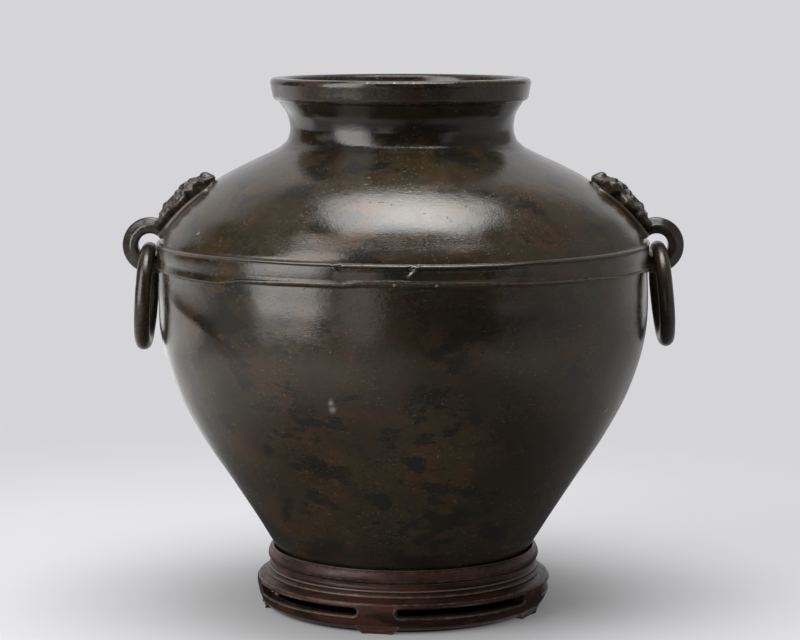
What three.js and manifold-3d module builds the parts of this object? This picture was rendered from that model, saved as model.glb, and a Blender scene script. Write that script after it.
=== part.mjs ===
// A large cast bronze vase with two beast-mask ring handles, on its own carved hardwood stand.
// Millimetres, +Z up. The origin is under the middle of the stand, and the handles lie along X.
// Angles round the stand are measured from its front (-Y) towards +X, in degrees.

import * as THREE from 'three';
import { mergeVertices } from 'three/addons/utils/BufferGeometryUtils.js';
import Module from 'manifold-3d';

const wasm = await Module();
wasm.setup();

const gap = 0.3; // clearance between neighbouring pieces
const mergeDistance = 1e-4; // vertices closer than this are one

// The vase
const vaseSides = 48;
const wall = 4.5;
const footRadius = 84;
const footZ = 30.4;
const bandLow = 243.6; // where the raised band starts and ends
const bandHigh = 259.2;
const bandRadius = 173.2;
const bandFillet = 1.1; // thin raised edge above and below the band
const bodyJointZ = 259.4; // the body, the shoulder and the neck are cast apart
const neckJointZ = 324.2;
const neckRootZ = 321; // where the throat opens into the belly
const lipTop = 372.7;
const recessDepth = 10; // step inside the foot that the base plate rests against
const recessRadius = 75.5;
const plateRadius = 79; // base plate let into the foot
const plateLow = 33;
const plateThickness = 3.6;

// One handle, given for the right side
const loopX = 177.5; // middle of the loop's eye
const loopZ = 255.2;
const loopEye = 8.6;
const loopOuter = 19.8;
const loopHalfWidth = 6.5;
const loopCrest = 1.8; // half width of the flat crest between its two wide bevels
const loopBevel = 6;
const loopEdge = 1.2; // small bevel round the eye
const ringPivotX = 179.1; // middle of the ring's wire where it hangs in the eye
const ringPivotZ = 253;
const ringRadius = 32; // to the middle of the wire
const ringWire = 5.1;
const leanRight = 4.8; // degrees that each hanging ring leans outward
const leanLeft = 3;
const maskRadius = 156.5; // the point on the shoulder under the middle of the mask
const maskZ = 280;
const maskTilt = 44; // degrees from level of the shoulder's outward direction there
const slopeRadius = 98; // how the shoulder curves up the slope there
const maskPlate = 2.5;
const maskRelief = 4.2;
const maskInset = 3.5; // rim of the plate that shows round the relief
const rivetRadius = 2;
const rivetHead = 1.8;
const rivetHeadGap = 2; // from the inside of the wall to the head
const rivetPlaces = { front: [-15, -1], back: [15, -1] };
const tenonRadius = 2.6;
const tenonZ = 241;
const innerWallX = 165.6; // the vase's inner surface at the tenon
const tenonEnd = innerWallX - 3.2;
const washerRadius = 5.4;
const washerThickness = 1.7;

// The stand
const standSides = 40;
const legCount = 5;
const firstLeg = -10.3;
const postHalfAngle = 7.5;
const footHalfAngle = 8.5;
const drumRadius = 103.3; // widest part, round the slots
const drumWall = 7;
const footHeight = 4.6;
const postLow = 2.6; // underside of the low walls between the feet
const slotLow = 12.3;
const slotHigh = 18.1;
const slotEndAngle = 1.7; // how far a slot's rounded end reaches past the post's side
const railGapAngle = 0.2;
const tenonWidth = 12;
const tenonThickness = 3;
const tenonHeight = 2.4;
const apronInner = 78;
const apronTop = 24;
const waistTop = 32.4;
const rimTop = 42.5;
const rimOuter = 96.4;
const rimInner = 91.6;
const seatRadius = 88;

const bronze = { color: 0x3c3027, roughness: 0.46, metalness: 0.9 };
const wornBronze = { color: 0x4a3d31, roughness: 0.4, metalness: 0.9 };
const hardwood = { color: 0x4a3128, roughness: 0.5, metalness: 0 };

const model = new THREE.Group();

// Shapes and solids

function points(list) {
  return list.map(([radius, z]) => new THREE.Vector2(radius, z));
}

// The outline moved square to itself, away from the axis where it is drawn upward
function offset(outline, distance) {
  return outline.map((point, i) => {
    const before = outline[Math.max(i - 1, 0)];
    const after = outline[Math.min(i + 1, outline.length - 1)];
    const along = after.clone().sub(before).normalize();
    return new THREE.Vector2(point.x + along.y * distance, point.y - along.x * distance);
  });
}

// An outline turned round Z: up the outside, then down the inside or along the axis
function turned(outline, sides) {
  const closed = [...outline, outline[0].clone()];
  return new THREE.LatheGeometry(closed, sides).rotateX(Math.PI / 2);
}

function solid(geometry) {
  geometry.deleteAttribute('normal');
  geometry.deleteAttribute('uv');
  const merged = mergeVertices(geometry, mergeDistance);
  const corners = Array.from(merged.index.array);
  const triangles = [];
  for (let i = 0; i < corners.length; i += 3) {
    const [a, b, c] = corners.slice(i, i + 3);
    if (a !== b && b !== c && c !== a) {
      triangles.push(a, b, c);
    }
  }
  return new wasm.Manifold(new wasm.Mesh({
    numProp: 3,
    vertProperties: merged.getAttribute('position').array,
    triVerts: Uint32Array.from(triangles),
  }));
}

function geometryOf(body) {
  const mesh = body.getMesh();
  const geometry = new THREE.BufferGeometry();
  geometry.setAttribute('position', new THREE.BufferAttribute(mesh.vertProperties, 3));
  geometry.setIndex(new THREE.BufferAttribute(mesh.triVerts, 1));
  geometry.computeVertexNormals();
  return geometry;
}

function addPiece(name, body, finish, parent = model) {
  const mesh = new THREE.Mesh(geometryOf(body), new THREE.MeshStandardMaterial(finish));
  mesh.name = name;
  parent.add(mesh);
  return mesh;
}

// A round pin along X, from one x to another
function pinAlongX(radius, from, to, z) {
  const pin = new THREE.CylinderGeometry(radius, radius, to - from, 12);
  return solid(pin.rotateZ(Math.PI / 2).translate((from + to) / 2, 0, z));
}

// The vase's outlines, each drawn upward

const belly = points([
  [footRadius, footZ + 0.8],
  [90.4, 42],
  [103.2, 63],
  [121.1, 91],
  [142, 122.5],
  [160, 157.5],
  [170.2, 192.5],
  [172, 221],
  [171.2, bandLow],
]);
const shoulder = points([
  [169.2, bandHigh],
  [164.2, 270],
  [156.4, 280],
  [146.6, 289.2],
  [135.6, 297.8],
  [123.8, 305.4],
  [108, 313.4],
  [95, 319.4],
  [87, 323.4],
]);
const neck = points([
  [84.6, 325],
  [80.4, 329.4],
  [78.3, 337.5],
  [79.2, 346.6],
  [83.4, 353.6],
]);
const lip = points([
  [85.6, 356.4],
  [89, 358.8],
  [91.2, 366],
  [90.4, 371.2],
  [88, lipTop],
  [83.4, lipTop],
]);
const throat = points([
  [81, neckRootZ],
  [75.8, 327.6],
  [73.9, 336],
  [74.2, 346],
  [77.6, 361],
  [80.6, 371],
]);

function bandOutline() {
  const face = bandRadius;
  const proud = bandRadius + bandFillet;
  return points([
    [proud, bandLow + 0.6],
    [proud, bandLow + 2],
    [face + 0.2, bandLow + 2.6],
    [face - 0.6, bandHigh - 3],
    [proud - 0.8, bandHigh - 2.4],
    [proud - 1, bandHigh - 0.8],
  ]);
}

// Everything inside the vase's outer surface, grown outward by a distance
function vaseFilled(grown) {
  const outer = [...belly, ...bandOutline(), ...shoulder];
  const low = new THREE.Vector2(0, footZ);
  const high = new THREE.Vector2(0, shoulder.at(-1).y);
  return solid(turned([low, ...offset(outer, grown), high], vaseSides));
}

// The same for the smooth shoulder alone, without the band's raised edges
function shoulderFilled(grown) {
  const outer = offset(shoulder, grown);
  const low = new THREE.Vector2(0, bandHigh - 20);
  const lowOuter = new THREE.Vector2(outer[0].x, low.y);
  const high = new THREE.Vector2(0, outer.at(-1).y);
  return solid(turned([low, lowOuter, ...outer, high], vaseSides));
}

// The three castings together, with the recess for the base plate
function vaseCastings() {
  const inside = offset([...belly.slice(2), ...shoulder], -wall).filter((point, i) => i % 2 === 0);
  const recess = points([
    [82, footZ + recessDepth + 1],
    [recessRadius, footZ + recessDepth],
    [recessRadius, plateLow + plateThickness + gap],
    [plateRadius + gap, plateLow + plateThickness + gap],
    [plateRadius + gap, footZ],
    [footRadius - 0.8, footZ],
  ]);
  const outline = [
    ...belly,
    ...bandOutline(),
    ...shoulder,
    ...neck,
    ...lip,
    ...throat.reverse(),
    ...inside.reverse(),
    ...recess,
  ];
  return solid(turned(outline, vaseSides));
}

// Everything between two heights
function layer(low, high) {
  const reach = 500;
  return solid(new THREE.BoxGeometry(reach, reach, high - low).translate(0, 0, (low + high) / 2));
}

// Handles. The mask lies on a flat grid tipped to the shoulder: u is across, v is up the slope
// and n is outward. The shoulder curves away below that grid.

const tilt = THREE.MathUtils.degToRad(maskTilt);
const maskFrame = new THREE.Matrix4().makeBasis(
  new THREE.Vector3(0, 1, 0),
  new THREE.Vector3(-Math.sin(tilt), 0, Math.cos(tilt)),
  new THREE.Vector3(Math.cos(tilt), 0, Math.sin(tilt)),
).setPosition(maskRadius, 0, maskZ);

function shoulderDrop(u, v) {
  const acrossRadius = maskRadius / Math.cos(tilt);
  return u * u / (2 * acrossRadius) + v * v / (2 * slopeRadius);
}

// The mask's outline seen square on: chin, jaw, cheek, ear, brow and crest
function maskOutline(inset) {
  const half = [
    [0, -22.5],
    [9, -21.5],
    [17, -16],
    [22, -8.5],
    [26, -3],
    [30.5, 4],
    [29, 11],
    [22, 14],
    [17, 20],
    [9, 27],
    [0, 29],
  ];
  const shrink = 1 - inset / 29;
  const right = half.map(([u, v]) => [u * shrink, v * shrink]);
  const left = right.slice(1, -1).reverse().map(([u, v]) => [-u, v]);
  return new THREE.Shape(points([...right, ...left]));
}

function maskBlock(inset) {
  const depth = 40;
  const block = new THREE.ExtrudeGeometry(maskOutline(inset), { depth, bevelEnabled: false });
  return solid(block.translate(0, 0, -depth / 2).applyMatrix4(maskFrame));
}

// A rounded lump of the mask's relief, sunk into the shoulder's curve
function lump([u, v], [halfU, halfV, halfN], height, turn = 0) {
  const ball = new THREE.SphereGeometry(1, 10, 5);
  ball.scale(halfU, halfV, halfN).rotateZ(THREE.MathUtils.degToRad(turn));
  ball.translate(u, v, height - shoulderDrop(u, v));
  return solid(ball.applyMatrix4(maskFrame));
}

function maskFace() {
  let face = maskBlock(maskInset).intersect(shoulderFilled(maskPlate + gap + maskRelief));
  for (const side of [1, -1]) {
    face = face
      .add(lump([side * 11, 10], [10.5, 4.5, 4], 7, side * 16))
      .add(lump([side * 10, 2], [5, 4.6, 4.2], 6.6))
      .add(lump([side * 14.5, -9], [6.5, 6.5, 4.2], 6))
      .add(lump([side * 22.5, 5], [5, 6, 3.2], 6, side * -30));
  }
  face = face
    .add(lump([0, -3], [5.2, 9.5, 4.6], 7))
    .add(lump([0, -14], [9, 5.5, 4.6], 7))
    .add(lump([0, 20], [8, 6, 4.6], 7));
  return face.subtract(shoulderFilled(maskPlate + 2 * gap));
}

function loopBlank(grown) {
  const eye = loopEye - grown;
  const outer = loopOuter + grown;
  const half = loopHalfWidth + grown;
  const crest = loopCrest + grown;
  const bevelFrom = loopOuter - loopBevel;
  const section = points([
    [eye + loopEdge, -half],
    [bevelFrom, -half],
    [outer, -crest],
    [outer, crest],
    [bevelFrom, half],
    [eye + loopEdge, half],
    [eye, half - loopEdge],
    [eye, loopEdge - half],
    [eye + loopEdge, -half],
  ]);
  const blank = new THREE.LatheGeometry(section, 24).translate(loopX, 0, loopZ);
  return solid(blank);
}

// A pin square to the shoulder at a place on the mask, between two heights over the surface
function pinThroughWall([u, v], radius, from, to) {
  const pin = new THREE.CylinderGeometry(radius, radius, to - from, 12).rotateX(Math.PI / 2);
  pin.translate(u, v, (from + to) / 2 - shoulderDrop(u, v));
  return solid(pin.applyMatrix4(maskFrame));
}

const rivetTop = maskPlate + 2.6;

function rivet(place) {
  const headTo = -wall - rivetHeadGap;
  const headFrom = headTo - rivetHead;
  return pinThroughWall(place, 2 * rivetRadius, headFrom, headTo)
    .add(pinThroughWall(place, rivetRadius, headFrom + 0.5, rivetTop));
}

function rivetHole(place) {
  const low = -wall - rivetHeadGap - rivetHead - 1;
  return pinThroughWall(place, rivetRadius + gap, low, rivetTop + gap);
}

function halfTurn(body) {
  return body.rotate([0, 0, 180]);
}

const rivetHoles = rivetHole(rivetPlaces.front).add(rivetHole(rivetPlaces.back));
const handleHoles = rivetHoles.add(pinAlongX(tenonRadius + gap, tenonEnd - 4, loopX, tenonZ));

const loopSolid = loopBlank(0)
  .subtract(vaseFilled(gap))
  .add(pinAlongX(tenonRadius, tenonEnd, loopX - 2, tenonZ));
const loopRoom = loopBlank(gap);
const plateSolid = maskBlock(0)
  .intersect(shoulderFilled(maskPlate + gap))
  .subtract(shoulderFilled(gap))
  .subtract(loopRoom)
  .subtract(rivetHoles);
const faceSolid = maskFace().subtract(loopRoom).subtract(rivetHoles);
const washerTo = innerWallX - 0.5;
const washerSolid = pinAlongX(washerRadius, washerTo - washerThickness, washerTo, tenonZ)
  .subtract(pinAlongX(tenonRadius + gap, tenonEnd - 1, loopX, tenonZ));

const castings = vaseCastings().subtract(handleHoles).subtract(halfTurn(handleHoles));
addPiece('vase_body', castings.intersect(layer(0, bodyJointZ)), bronze);
addPiece('vase_shoulder', castings.intersect(layer(bodyJointZ + gap, neckJointZ)), bronze);
addPiece('vase_neck', castings.intersect(layer(neckJointZ + gap, lipTop + 1)), bronze);

const basePlate = new THREE.CylinderGeometry(plateRadius, plateRadius, plateThickness, vaseSides)
  .rotateX(Math.PI / 2)
  .translate(0, 0, plateLow + plateThickness / 2);
addPiece('base_plate', solid(basePlate), bronze);

for (const [side, turn, lean] of [['right', 0, leanRight], ['left', Math.PI, leanLeft]]) {
  const handle = new THREE.Group();
  handle.rotation.z = turn;
  model.add(handle);
  addPiece(`mask_plate_${side}`, plateSolid, wornBronze, handle);
  addPiece(`mask_${side}`, faceSolid, bronze, handle);
  addPiece(`loop_${side}`, loopSolid, wornBronze, handle);
  addPiece(`loop_washer_${side}`, washerSolid, bronze, handle);
  for (const [end, place] of Object.entries(rivetPlaces)) {
    addPiece(`mask_rivet_${side}_${end}`, rivet(place), bronze, handle);
  }

  const pivot = new THREE.Group();
  pivot.position.set(ringPivotX, 0, ringPivotZ);
  pivot.rotation.y = -THREE.MathUtils.degToRad(lean);
  handle.add(pivot);
  const wire = new THREE.Path().absarc(ringRadius, 0, ringWire, 0, 2 * Math.PI).getPoints(4);
  const ring = new THREE.LatheGeometry([...wire.slice(0, -1), wire[0].clone()], 30);
  const ringMesh = addPiece(`ring_${side}`, solid(ring.rotateZ(Math.PI / 2)), wornBronze, pivot);
  ringMesh.position.z = -ringRadius;
}

// The stand

function towards(degrees) {
  const angle = THREE.MathUtils.degToRad(degrees);
  return new THREE.Vector3(Math.sin(angle), -Math.cos(angle), 0);
}

// A wedge of the stand, all its height, about one direction
function wedge(middle, halfAngle) {
  const reach = 140;
  const depth = 60;
  const corners = [middle - halfAngle, middle + halfAngle].map((degrees) => {
    const { x, y } = towards(degrees).multiplyScalar(reach);
    return new THREE.Vector2(x, y);
  });
  const shape = new THREE.Shape([new THREE.Vector2(0, 0), ...corners]);
  return solid(new THREE.ExtrudeGeometry(shape, { depth, bevelEnabled: false }));
}

function standRing(list) {
  return solid(turned(points(list), standSides));
}

const drumInner = drumRadius - drumWall;
const footRing = standRing([
  [98, 0],
  [99.4, 2],
  [99.8, footHeight],
  [drumInner - 3, footHeight],
  [drumInner - 4, 0],
]);
const drumFoot = [[98.8, postLow], [101, 6], [102.4, 9.5]];
const drum = standRing([
  ...drumFoot,
  [drumRadius, slotLow + 2],
  [drumRadius, slotHigh - gap],
  [drumInner, slotHigh - gap],
  [drumInner, postLow],
]);
const lowDrum = standRing([
  ...drumFoot,
  [drumRadius - 0.3, slotLow],
  [drumInner, slotLow],
  [drumInner, postLow],
]);

// One rounded end of a slot
function slotEnd(degrees) {
  const radius = (slotHigh - gap - slotLow) / 2;
  const cutter = new THREE.CylinderGeometry(radius, radius, 30, 16);
  const place = towards(degrees).multiplyScalar(drumRadius - drumWall / 2);
  cutter.rotateZ(THREE.MathUtils.degToRad(degrees));
  cutter.translate(place.x, place.y, slotLow + radius);
  return solid(cutter);
}

function legTenon(degrees, grown) {
  const width = tenonWidth + 2 * grown;
  const thickness = tenonThickness + 2 * grown;
  const height = 2 * (tenonHeight + grown);
  const place = towards(degrees).multiplyScalar(drumRadius - drumWall / 2);
  const block = new THREE.BoxGeometry(width, thickness, height);
  block.rotateZ(THREE.MathUtils.degToRad(degrees));
  return solid(block.translate(place.x, place.y, slotHigh - gap));
}

function leg(degrees) {
  const width = postHalfAngle + slotEndAngle;
  return drum.intersect(wedge(degrees, width))
    .subtract(slotEnd(degrees - width))
    .subtract(slotEnd(degrees + width))
    .add(footRing.intersect(wedge(degrees, footHalfAngle)))
    .add(legTenon(degrees, 0));
}

const legStep = 360 / legCount;
const legAngles = Array.from({ length: legCount }, (_, i) => firstLeg + i * legStep);
const mortises = legAngles
  .map((degrees) => legTenon(degrees, gap))
  .reduce((all, one) => all.add(one));

const apron = standRing([
  [drumRadius, slotHigh],
  [drumRadius, 20.2],
  [102.4, 21.6],
  [98, 23],
  [96.6, apronTop],
  [apronInner, apronTop],
  [apronInner, 20.5],
  [drumInner, 20.5],
  [drumInner, slotHigh],
]).subtract(mortises);
const waist = standRing([
  [96, apronTop + gap],
  [96.8, 26.4],
  [95.4, 28],
  [95, 29.4],
  [95.6, 30.6],
  [94.4, 31.6],
  [94, waistTop],
  [seatRadius + gap, waistTop],
  [seatRadius + gap, apronTop + gap],
]);
const rim = standRing([
  [94.4, waistTop + gap],
  [95.8, 34],
  [rimOuter, 37],
  [95.6, 39.6],
  [93.6, 41.6],
  [92.8, rimTop],
  [rimInner, rimTop],
  [88.6, waistTop + gap],
]);
const seat = new THREE.CylinderGeometry(seatRadius, seatRadius, footZ - apronTop - 2 * gap, standSides)
  .rotateX(Math.PI / 2)
  .translate(0, 0, (footZ + apronTop) / 2);

addPiece('stand_rim', rim, hardwood);
addPiece('stand_waist', waist, hardwood);
addPiece('stand_seat', solid(seat), hardwood);
addPiece('stand_apron', apron, hardwood);

const railHalfAngle = legStep / 2 - postHalfAngle - slotEndAngle - railGapAngle;
legAngles.forEach((degrees, i) => {
  const rail = lowDrum.intersect(wedge(degrees + legStep / 2, railHalfAngle));
  addPiece(`stand_leg_${i + 1}`, leg(degrees), hardwood);
  addPiece(`stand_rail_${i + 1}`, rail, hardwood);
});

export default model;
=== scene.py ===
import math

import bmesh
import bpy
import numpy as np
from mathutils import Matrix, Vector, noise


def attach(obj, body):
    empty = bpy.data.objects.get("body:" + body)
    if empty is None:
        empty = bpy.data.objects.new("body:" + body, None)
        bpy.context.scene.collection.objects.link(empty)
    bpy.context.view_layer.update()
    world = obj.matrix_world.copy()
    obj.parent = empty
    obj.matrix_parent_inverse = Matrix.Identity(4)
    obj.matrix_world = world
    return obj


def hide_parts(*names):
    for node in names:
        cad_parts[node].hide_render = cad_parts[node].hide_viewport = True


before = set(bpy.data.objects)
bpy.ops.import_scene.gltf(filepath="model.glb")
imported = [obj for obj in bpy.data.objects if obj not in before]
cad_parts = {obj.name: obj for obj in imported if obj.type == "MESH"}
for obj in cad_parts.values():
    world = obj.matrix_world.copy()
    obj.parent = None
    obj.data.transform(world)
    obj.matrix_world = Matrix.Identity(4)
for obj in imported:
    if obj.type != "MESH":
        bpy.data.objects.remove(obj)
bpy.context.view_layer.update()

mm = 0.001
print("frame loaded:", len(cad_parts), "nodes")


# Camera, at the photograph's place

camera = {
    "lens": 113.29,  # millimetres
    "sensor": 36,
    "down": 7.271,  # degrees below level
    "place": (-2.3, -1762.2, 426.9),  # millimetres
}


def addObject(name, data):
    made = bpy.data.objects.new(name, data)
    bpy.context.scene.collection.objects.link(made)
    return made


def makeCamera(values):
    data = bpy.data.cameras.new("photoCamera")
    data.lens = values["lens"]
    data.sensor_width = values["sensor"]
    made = addObject("photoCamera", data)
    made.location = [v * mm for v in values["place"]]
    made.rotation_euler = (math.radians(90 - values["down"]), 0, 0)
    bpy.context.scene.camera = made


makeCamera(camera)
bpy.context.scene.view_settings.view_transform = "Standard"


# Node helpers: an input is a number, a colour or another node's output

def addNode(tree, kind, inputs=None, **settings):
    made = tree.nodes.new("ShaderNode" + kind)
    for key, value in settings.items():
        setattr(made, key, value)
    for key, value in (inputs or {}).items():
        if isinstance(value, bpy.types.NodeSocket):
            tree.links.new(value, made.inputs[key])
        else:
            made.inputs[key].default_value = value
    return made


def mathOf(tree, operation, a, b):
    return addNode(tree, "Math", {0: a, 1: b}, operation=operation).outputs[0]


def times(tree, a, b):
    return mathOf(tree, "MULTIPLY", a, b)


def addShares(tree, value, parts):
    for part, share in parts:
        value = mathOf(tree, "ADD", value, times(tree, part, share))
    return value


def fade(tree, value, low, high, atLow=0.0, atHigh=1.0):
    inputs = {"Value": value, "From Min": low, "From Max": high, "To Min": atLow, "To Max": atHigh}
    return addNode(tree, "MapRange", inputs, interpolation_type="SMOOTHSTEP").outputs[0]


def asColor(value):
    return value if isinstance(value, bpy.types.NodeSocket) else (*value, 1)


# Each layer is a mask, the share of it that shows, and the colour it brings

def layerColors(tree, color, layers):
    for mask, share, layer in layers:
        shown = mask if share == 1 else times(tree, mask, share)
        mix = addNode(tree, "Mix", {0: shown, 6: asColor(color), 7: asColor(layer)},
                      data_type="RGBA", clamp_factor=True)
        color = mix.outputs[2]
    return color


def movedPoint(tree, point, scale, shift=(0, 0, 0)):
    return addNode(tree, "Mapping", {"Vector": point, "Scale": scale, "Location": shift}).outputs[0]


def cloudField(tree, point, size, detail, rough=0.55, warp=0.0, scale=None, shift=(0, 0, 0)):
    if scale:
        point = movedPoint(tree, point, scale, shift)
    inputs = {"Vector": point, "Scale": 1 / size, "Detail": detail, "Roughness": rough, "Distortion": warp}
    return addNode(tree, "TexNoise", inputs).outputs[0]


# Crooked dots: the distance to scattered points, read at a place that noise pushes about

def dotField(tree, point, size, crookedSize, push):
    field = addNode(tree, "TexNoise", {"Vector": point, "Scale": 1 / crookedSize}).outputs["Color"]
    away = addNode(tree, "VectorMath", {0: field, "Scale": push}, operation="SCALE").outputs[0]
    crooked = addNode(tree, "VectorMath", {0: point, 1: away}, operation="ADD").outputs[0]
    return addNode(tree, "TexVoronoi", {"Vector": crooked, "Scale": 1 / size}).outputs["Distance"]


# A group's sockets are given by name and kind, and each material places the group with its own values

def newGroup(name, inputs, outputs):
    tree = bpy.data.node_groups.new(name, "ShaderNodeTree")
    for label, kind in inputs.items():
        tree.interface.new_socket(name=label, in_out="INPUT", socket_type="NodeSocket" + kind)
    for label, kind in outputs.items():
        tree.interface.new_socket(name=label, in_out="OUTPUT", socket_type="NodeSocket" + kind)
    entry = tree.nodes.new("NodeGroupInput").outputs
    leave = tree.nodes.new("NodeGroupOutput").inputs
    return tree, entry, leave


def putOut(tree, leave, values):
    for label, value in values.items():
        tree.links.new(value, leave[label])


def useGroup(tree, group, inputs):
    return addNode(tree, "Group", inputs, node_tree=group).outputs


# Where a surface is rubbed on its high edges, and made dark in its hollows

def makeEdgeGroup():
    tree, entry, leave = newGroup(
        "edgeWear",
        {"Point": "Vector", "Edge": "Float", "Amount": "Float"},
        {"Worn": "Float", "Hollows": "Float"})
    broken = cloudField(tree, entry["Point"], 3.2, 4, 0.6)
    bend = mathOf(tree, "ADD", entry["Edge"], fade(tree, broken, 0.25, 0.75, -0.22, 0.22))
    worn = times(tree, fade(tree, bend, 0.12, 0.62), entry["Amount"])
    putOut(tree, leave, {"Worn": worn, "Hollows": fade(tree, bend, -0.1, -0.6)})
    return tree


# Fine cast surface: grain, small pits, light specks and short scratches, in millimetres

def makeGrainGroup():
    tree, entry, leave = newGroup(
        "castGrain",
        {"Point": "Vector", "Grain": "Float", "Specks": "Float"},
        {"Height": "Float", "Pits": "Float", "Specks": "Float"})
    point = entry["Point"]
    soft = cloudField(tree, point, 6, 3)
    fine = cloudField(tree, point, 1.5, 2, 0.6, 0, (1, 1, 2))
    strokes = cloudField(tree, point, 1.1, 2, 0.6, 0, (0.22, 0.22, 1.3), (2, 9, 4))
    pitField = dotField(tree, movedPoint(tree, point, (1, 1, 1.3)), 4.2, 2.4, 4.0)
    pitPatch = fade(tree, cloudField(tree, point, 17, 4, 0.65), 0.45, 0.58)
    pits = times(tree, fade(tree, pitField, 0.16, 0.07), pitPatch)
    speckPoint = movedPoint(tree, point, (1, 1, 1.5), (31, 7, 11))
    speckField = dotField(tree, speckPoint, 5.5, 2.0, 3.5)
    speckPatch = fade(tree, cloudField(tree, speckPoint, 26, 4, 0.65), 0.52, 0.62)
    marks = times(tree, fade(tree, speckField, 0.1, 0.05), speckPatch)
    for turn, shift in (((0.15, 0.1, 0.3), 13), ((-0.2, 0.25, 1.4), 47)):
        hairPoint = addNode(tree, "Mapping", {
            "Vector": point, "Rotation": turn, "Location": (shift, 0, 0), "Scale": (0.16, 0.16, 1.15),
        }).outputs[0]
        hairs = fade(tree, cloudField(tree, hairPoint, 1, 1, 0.4), 0.765, 0.84)
        marks = mathOf(tree, "MAXIMUM", marks, times(tree, hairs, 0.7))
    marks = times(tree, marks, entry["Specks"])
    height = addShares(tree, times(tree, soft, 0.1), [(fine, 0.082), (strokes, 0.04)])
    height = addShares(tree, times(tree, height, entry["Grain"]), [(pits, -0.11), (marks, 0.03)])
    putOut(tree, leave, {"Height": height, "Pits": pits, "Specks": marks})
    return tree


# Dark brown patina: brown and olive clouds, with blue-black flecks that lie level and gather in patches

patinaClouds = {
    # size in millimetres, detail, roughness, warp, stretch, shift, where it fades in
    "brown": (42, 4, 0.55, 0.2, None, None, 0.42, 0.64),
    "olive": (50, 4, 0.55, 0.2, (1, 1, 1), (90, 40, 10), 0.46, 0.64),
    "dull": (70, 5, 0.6, 0.2, (1, 1, 1.3), (0, 0, 210), 0.46, 0.6),
    "flecks": (32, 5, 0.6, 0.15, (1, 1, 1.7), (5, 60, 25), 0.515, 0.575),
    "fleckPatch": (90, 2, 0.55, 0.0, (1, 1, 1), (7, 7, 7), 0.34, 0.5),
    "rust": (24, 5, 0.65, 0.3, (1, 1, 1.2), (15, 3, 70), 0.5, 0.68),
    "smudge": (7, 4, 0.65, 0.0, (1, 1, 2), (60, 9, 4), 0.5, 0.72),
}


def makePatinaGroup(clouds):
    tree, entry, leave = newGroup(
        "darkPatina",
        {"Point": "Vector", "Brown": "Float", "Olive": "Float", "Flecks": "Float", "Tone": "Color"},
        {"Color": "Color", "Roughness": "Float"})
    point = entry["Point"]
    mask = {}
    for name, (*field, low, high) in clouds.items():
        mask[name] = fade(tree, cloudField(tree, point, *field), low, high)
    brown = times(tree, mask["brown"], entry["Brown"])
    flecks = times(tree, times(tree, mask["flecks"], mask["fleckPatch"]), entry["Flecks"])
    rust = times(tree, mask["rust"], brown)
    gritPoint = movedPoint(tree, point, (1, 1, 1.4), (80, 30, 50))
    gritPatch = fade(tree, cloudField(tree, gritPoint, 34, 3), 0.42, 0.6, 0.25, 1)
    grit = cloudField(tree, gritPoint, 2.6, 3, 0.7)
    lightGrit = times(tree, fade(tree, grit, 0.56, 0.7), gritPatch)
    darkGrit = times(tree, fade(tree, grit, 0.44, 0.32), gritPatch)
    color = layerColors(tree, entry["Tone"], [
        (brown, 1, (0.051, 0.0292, 0.014)),
        (times(tree, mask["olive"], entry["Olive"]), 1, (0.037, 0.0316, 0.0148)),
        (rust, 1, (0.064, 0.03, 0.0155)),
        (times(tree, mask["dull"], entry["Flecks"]), 0.55, (0.021, 0.019, 0.013)),
        (mask["smudge"], 0.5, (0.02, 0.0165, 0.011)),
        (flecks, 0.8, (0.0105, 0.0115, 0.0105)),
        (lightGrit, 0.55, (0.097, 0.07, 0.0425)),
        (darkGrit, 0.5, (0.011, 0.01, 0.0075)),
    ])
    rough = fade(tree, cloudField(tree, point, 12, 6, 0.72), 0.32, 0.7, 0.11, 0.22)
    rough = addShares(tree, rough, [(lightGrit, 0.15), (darkGrit, -0.04), (rust, 0.06), (flecks, -0.03)])
    putOut(tree, leave, {"Color": color, "Roughness": rough})
    return tree


# Close-grained dark hardwood, its grain lying level round the stand

def makeWoodGroup():
    tree, entry, leave = newGroup(
        "hardwoodGrain",
        {"Point": "Vector", "Redness": "Float"},
        {"Color": "Color", "Roughness": "Float", "Height": "Float"})
    point = entry["Point"]
    bands = cloudField(tree, point, 34, 4, 0.6, 0.8, (1, 1, 9))
    lines = cloudField(tree, point, 11, 5, 0.65, 0.3, (1, 1, 14), (9, 4, 2))
    pores = fade(tree, cloudField(tree, point, 2.2, 2, 0.5, 0, (1, 1, 8), (3, 8, 5)), 0.62, 0.7)
    red = fade(tree, cloudField(tree, point, 40, 3, 0.6, 0, (1, 1, 2.5), (50, 0, 20)), 0.42, 0.62)
    color = layerColors(tree, (0.017, 0.0085, 0.006), [
        (fade(tree, bands, 0.36, 0.64), 1, (0.036, 0.0165, 0.011)),
        (times(tree, red, entry["Redness"]), 1, (0.082, 0.029, 0.018)),
        (fade(tree, lines, 0.5, 0.68), 0.45, (0.011, 0.0055, 0.004)),
        (pores, 0.7, (0.006, 0.003, 0.0025)),
    ])
    rough = fade(tree, lines, 0.3, 0.7, 0.32, 0.46)
    height = addShares(tree, times(tree, lines, -0.05), [(pores, -0.04)])
    putOut(tree, leave, {"Color": color, "Roughness": rough, "Height": height})
    return tree


edgeWear = makeEdgeGroup()
castGrain = makeGrainGroup()
darkPatina = makePatinaGroup(patinaClouds)
hardwoodGrain = makeWoodGroup()


# Materials

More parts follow.
